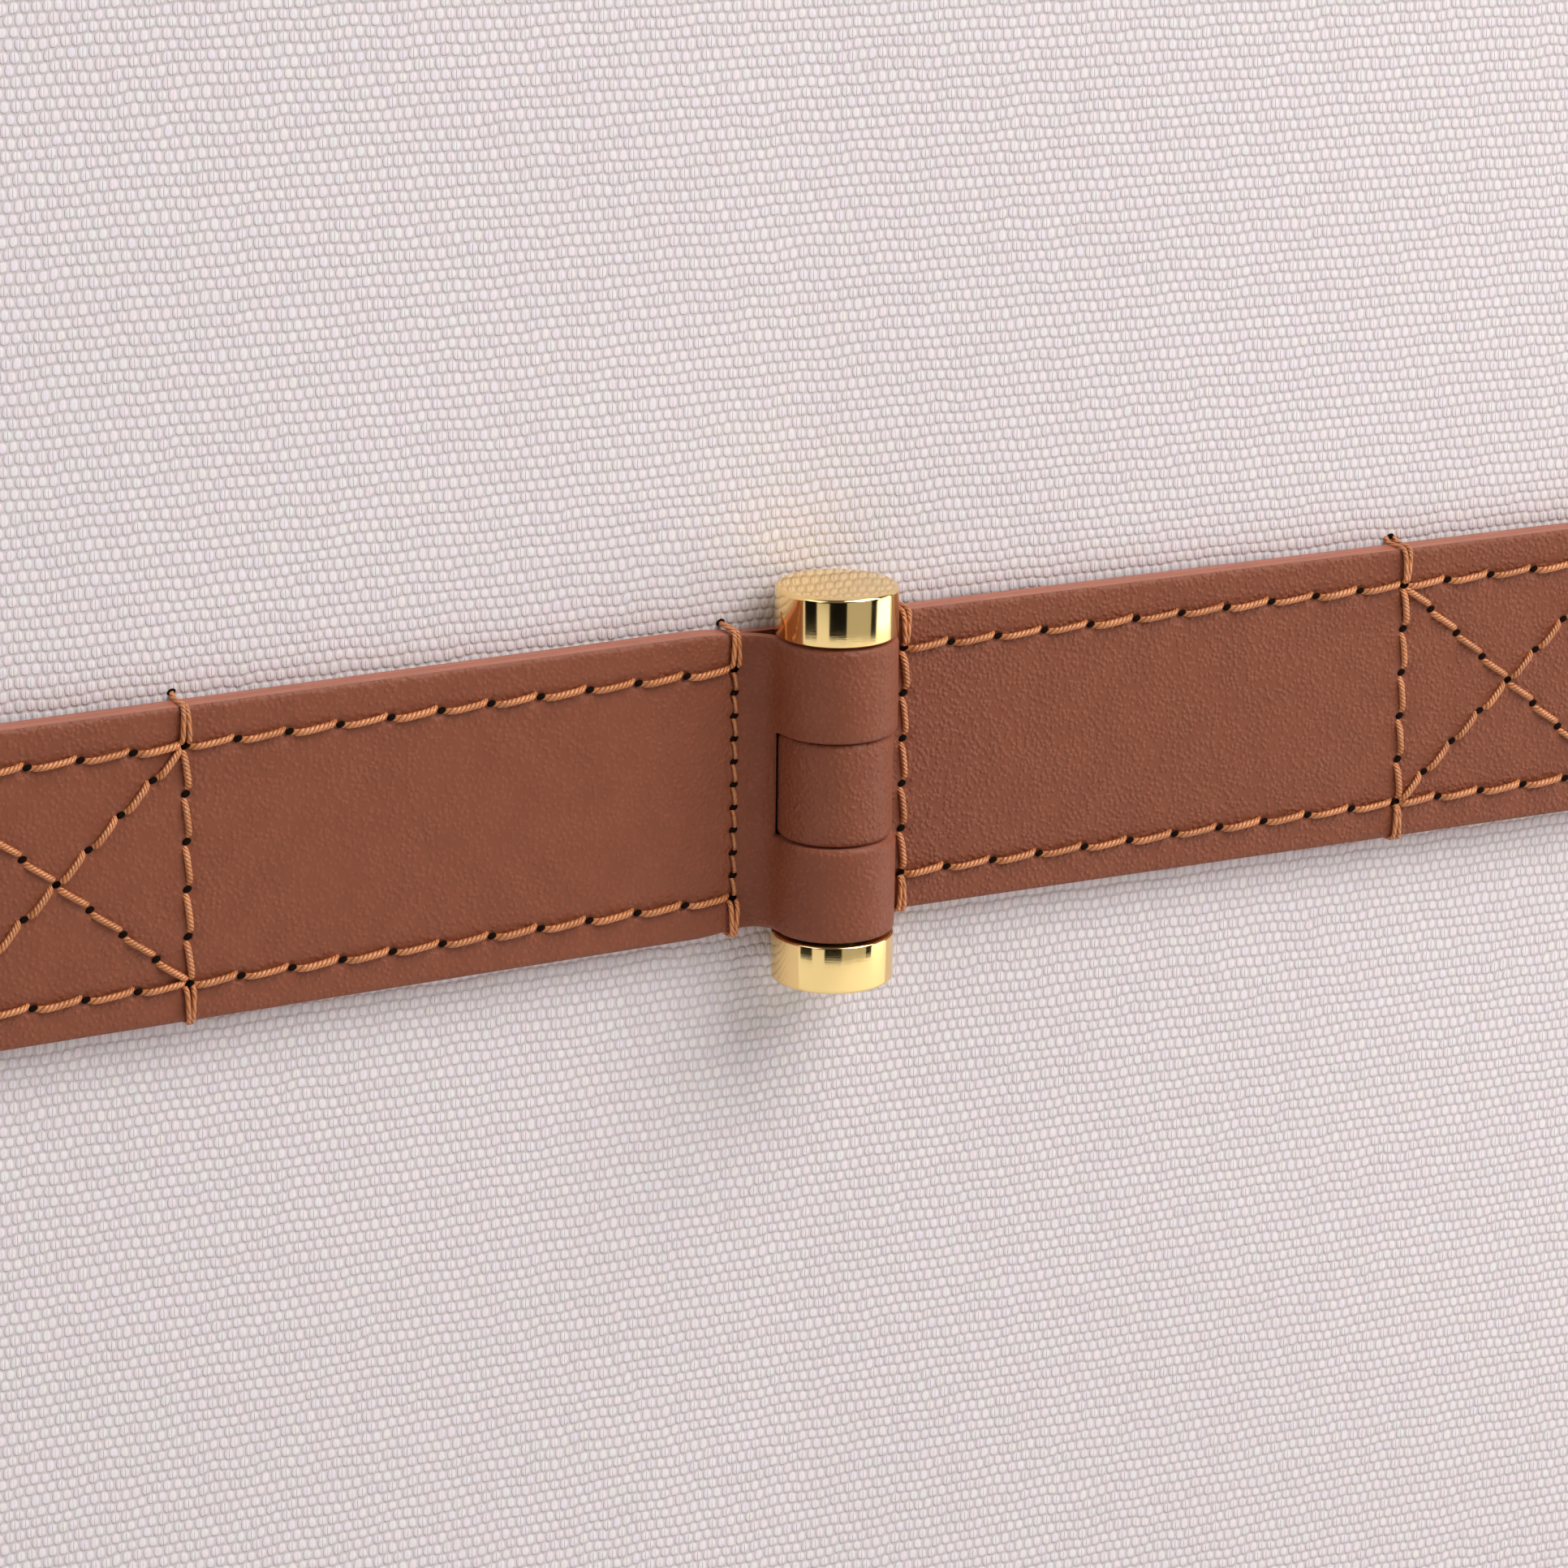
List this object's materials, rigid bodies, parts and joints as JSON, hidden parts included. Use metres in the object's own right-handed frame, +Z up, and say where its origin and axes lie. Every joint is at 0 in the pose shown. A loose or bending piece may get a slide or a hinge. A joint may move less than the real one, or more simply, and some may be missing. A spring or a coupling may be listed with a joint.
{
  "type": "fabric storage bin",
  "caption": "Open-top canvas storage bin with stiffened walls that fold inwards at leather strap hinges, and a lift-out base insert.",
  "frame": {"origin": "centre of the overall box, at the underside of the floor canvas", "axes": "+Z up, the front wall with its strap hinge faces -Y, +X to the right seen from the front"},
  "size_m": [0.2824, 0.4006, 0.25],
  "materials": {
    "canvas": "plain-weave cotton duck",
    "lining": "fine plain-weave cotton",
    "binding": "folded cotton duck tape",
    "board": "plain grey-brown fibreboard",
    "leather": "pebbled, soft sheen",
    "thread": "waxed three-ply thread",
    "gilt_cap": "polished gold plate",
    "pin_steel": "drawn steel rod"
  },
  "bodies": {
    "left_wall": {"left_canvas": "canvas", "left_board": "board", "left_lining": "lining", "left_binding": "binding", "floor_canvas": "canvas", "base_seam_tape": "binding"},
    "front_left_panel": {"front_left_canvas": "canvas", "front_left_patch": "canvas", "front_left_board": "board", "front_left_lining": "lining", "front_left_binding": "binding", "front_strap_left": "leather"},
    "front_right_panel": {"front_right_canvas": "canvas", "front_right_patch": "canvas", "front_right_board": "board", "front_right_lining": "lining", "front_right_binding": "binding", "front_strap_right": "leather"},
    "right_wall": {"right_canvas": "canvas", "right_board": "board", "right_lining": "lining", "right_binding": "binding"},
    "back_right_panel": {"back_right_canvas": "canvas", "back_right_patch": "canvas", "back_right_board": "board", "back_right_lining": "lining", "back_right_binding": "binding", "back_strap_right": "leather"},
    "back_left_panel": {"back_left_canvas": "canvas", "back_left_patch": "canvas", "back_left_board": "board", "back_left_lining": "lining", "back_left_binding": "binding", "back_strap_left": "leather"},
    "front_pin": {"front_hinge_pin": "pin_steel", "front_pin_cap_top": "gilt_cap", "front_pin_cap_bottom": "gilt_cap"},
    "back_pin": {"back_hinge_pin": "pin_steel", "back_pin_cap_top": "gilt_cap", "back_pin_cap_bottom": "gilt_cap"},
    "base_insert": {"insert_board": "board", "insert_cover": "lining"}
  },
  "joints": [
    {"name": "front_fold", "type": "hinge", "parent": "left_wall", "child": "front_left_panel", "pos_m": [-0.1319, -0.1819, 0.12], "axis": [0, 0, 1], "range_deg": [0, 85]},
    {"name": "front_strap_hinge", "type": "hinge", "parent": "front_left_panel", "child": "front_right_panel", "pos_m": [0, -0.1954, 0.15], "axis": [0, 0, 1], "range_deg": [-170, 0]},
    {"name": "right_front_corner", "type": "hinge", "parent": "front_right_panel", "child": "right_wall", "pos_m": [0.1319, -0.1819, 0.12], "axis": [0, 0, 1], "range_deg": [0, 85]},
    {"name": "back_fold", "type": "hinge", "parent": "left_wall", "child": "back_right_panel", "pos_m": [-0.1319, 0.1819, 0.12], "axis": [0, 0, 1], "range_deg": [-85, 0]},
    {"name": "back_strap_hinge", "type": "hinge", "parent": "back_right_panel", "child": "back_left_panel", "pos_m": [0, 0.1954, 0.15], "axis": [0, 0, 1], "range_deg": [0, 170]},
    {"name": "front_pin_spin", "type": "hinge", "parent": "front_left_panel", "child": "front_pin", "pos_m": [0, -0.1954, 0.15], "axis": [0, 0, 1], "continuous": true},
    {"name": "back_pin_spin", "type": "hinge", "parent": "back_left_panel", "child": "back_pin", "pos_m": [0, 0.1954, 0.15], "axis": [0, 0, 1], "continuous": true},
    {"name": "insert_lift", "type": "slide", "parent": "left_wall", "child": "base_insert", "axis": [0, 0, 1], "range_m": [0, 0.27]}
  ],
  "couplings": [
    {"joint": "front_strap_hinge", "follows": "front_fold", "ratio": -2},
    {"joint": "right_front_corner", "follows": "front_fold", "ratio": 1},
    {"joint": "back_fold", "follows": "front_fold", "ratio": -1},
    {"joint": "back_strap_hinge", "follows": "front_fold", "ratio": 2}
  ]
}
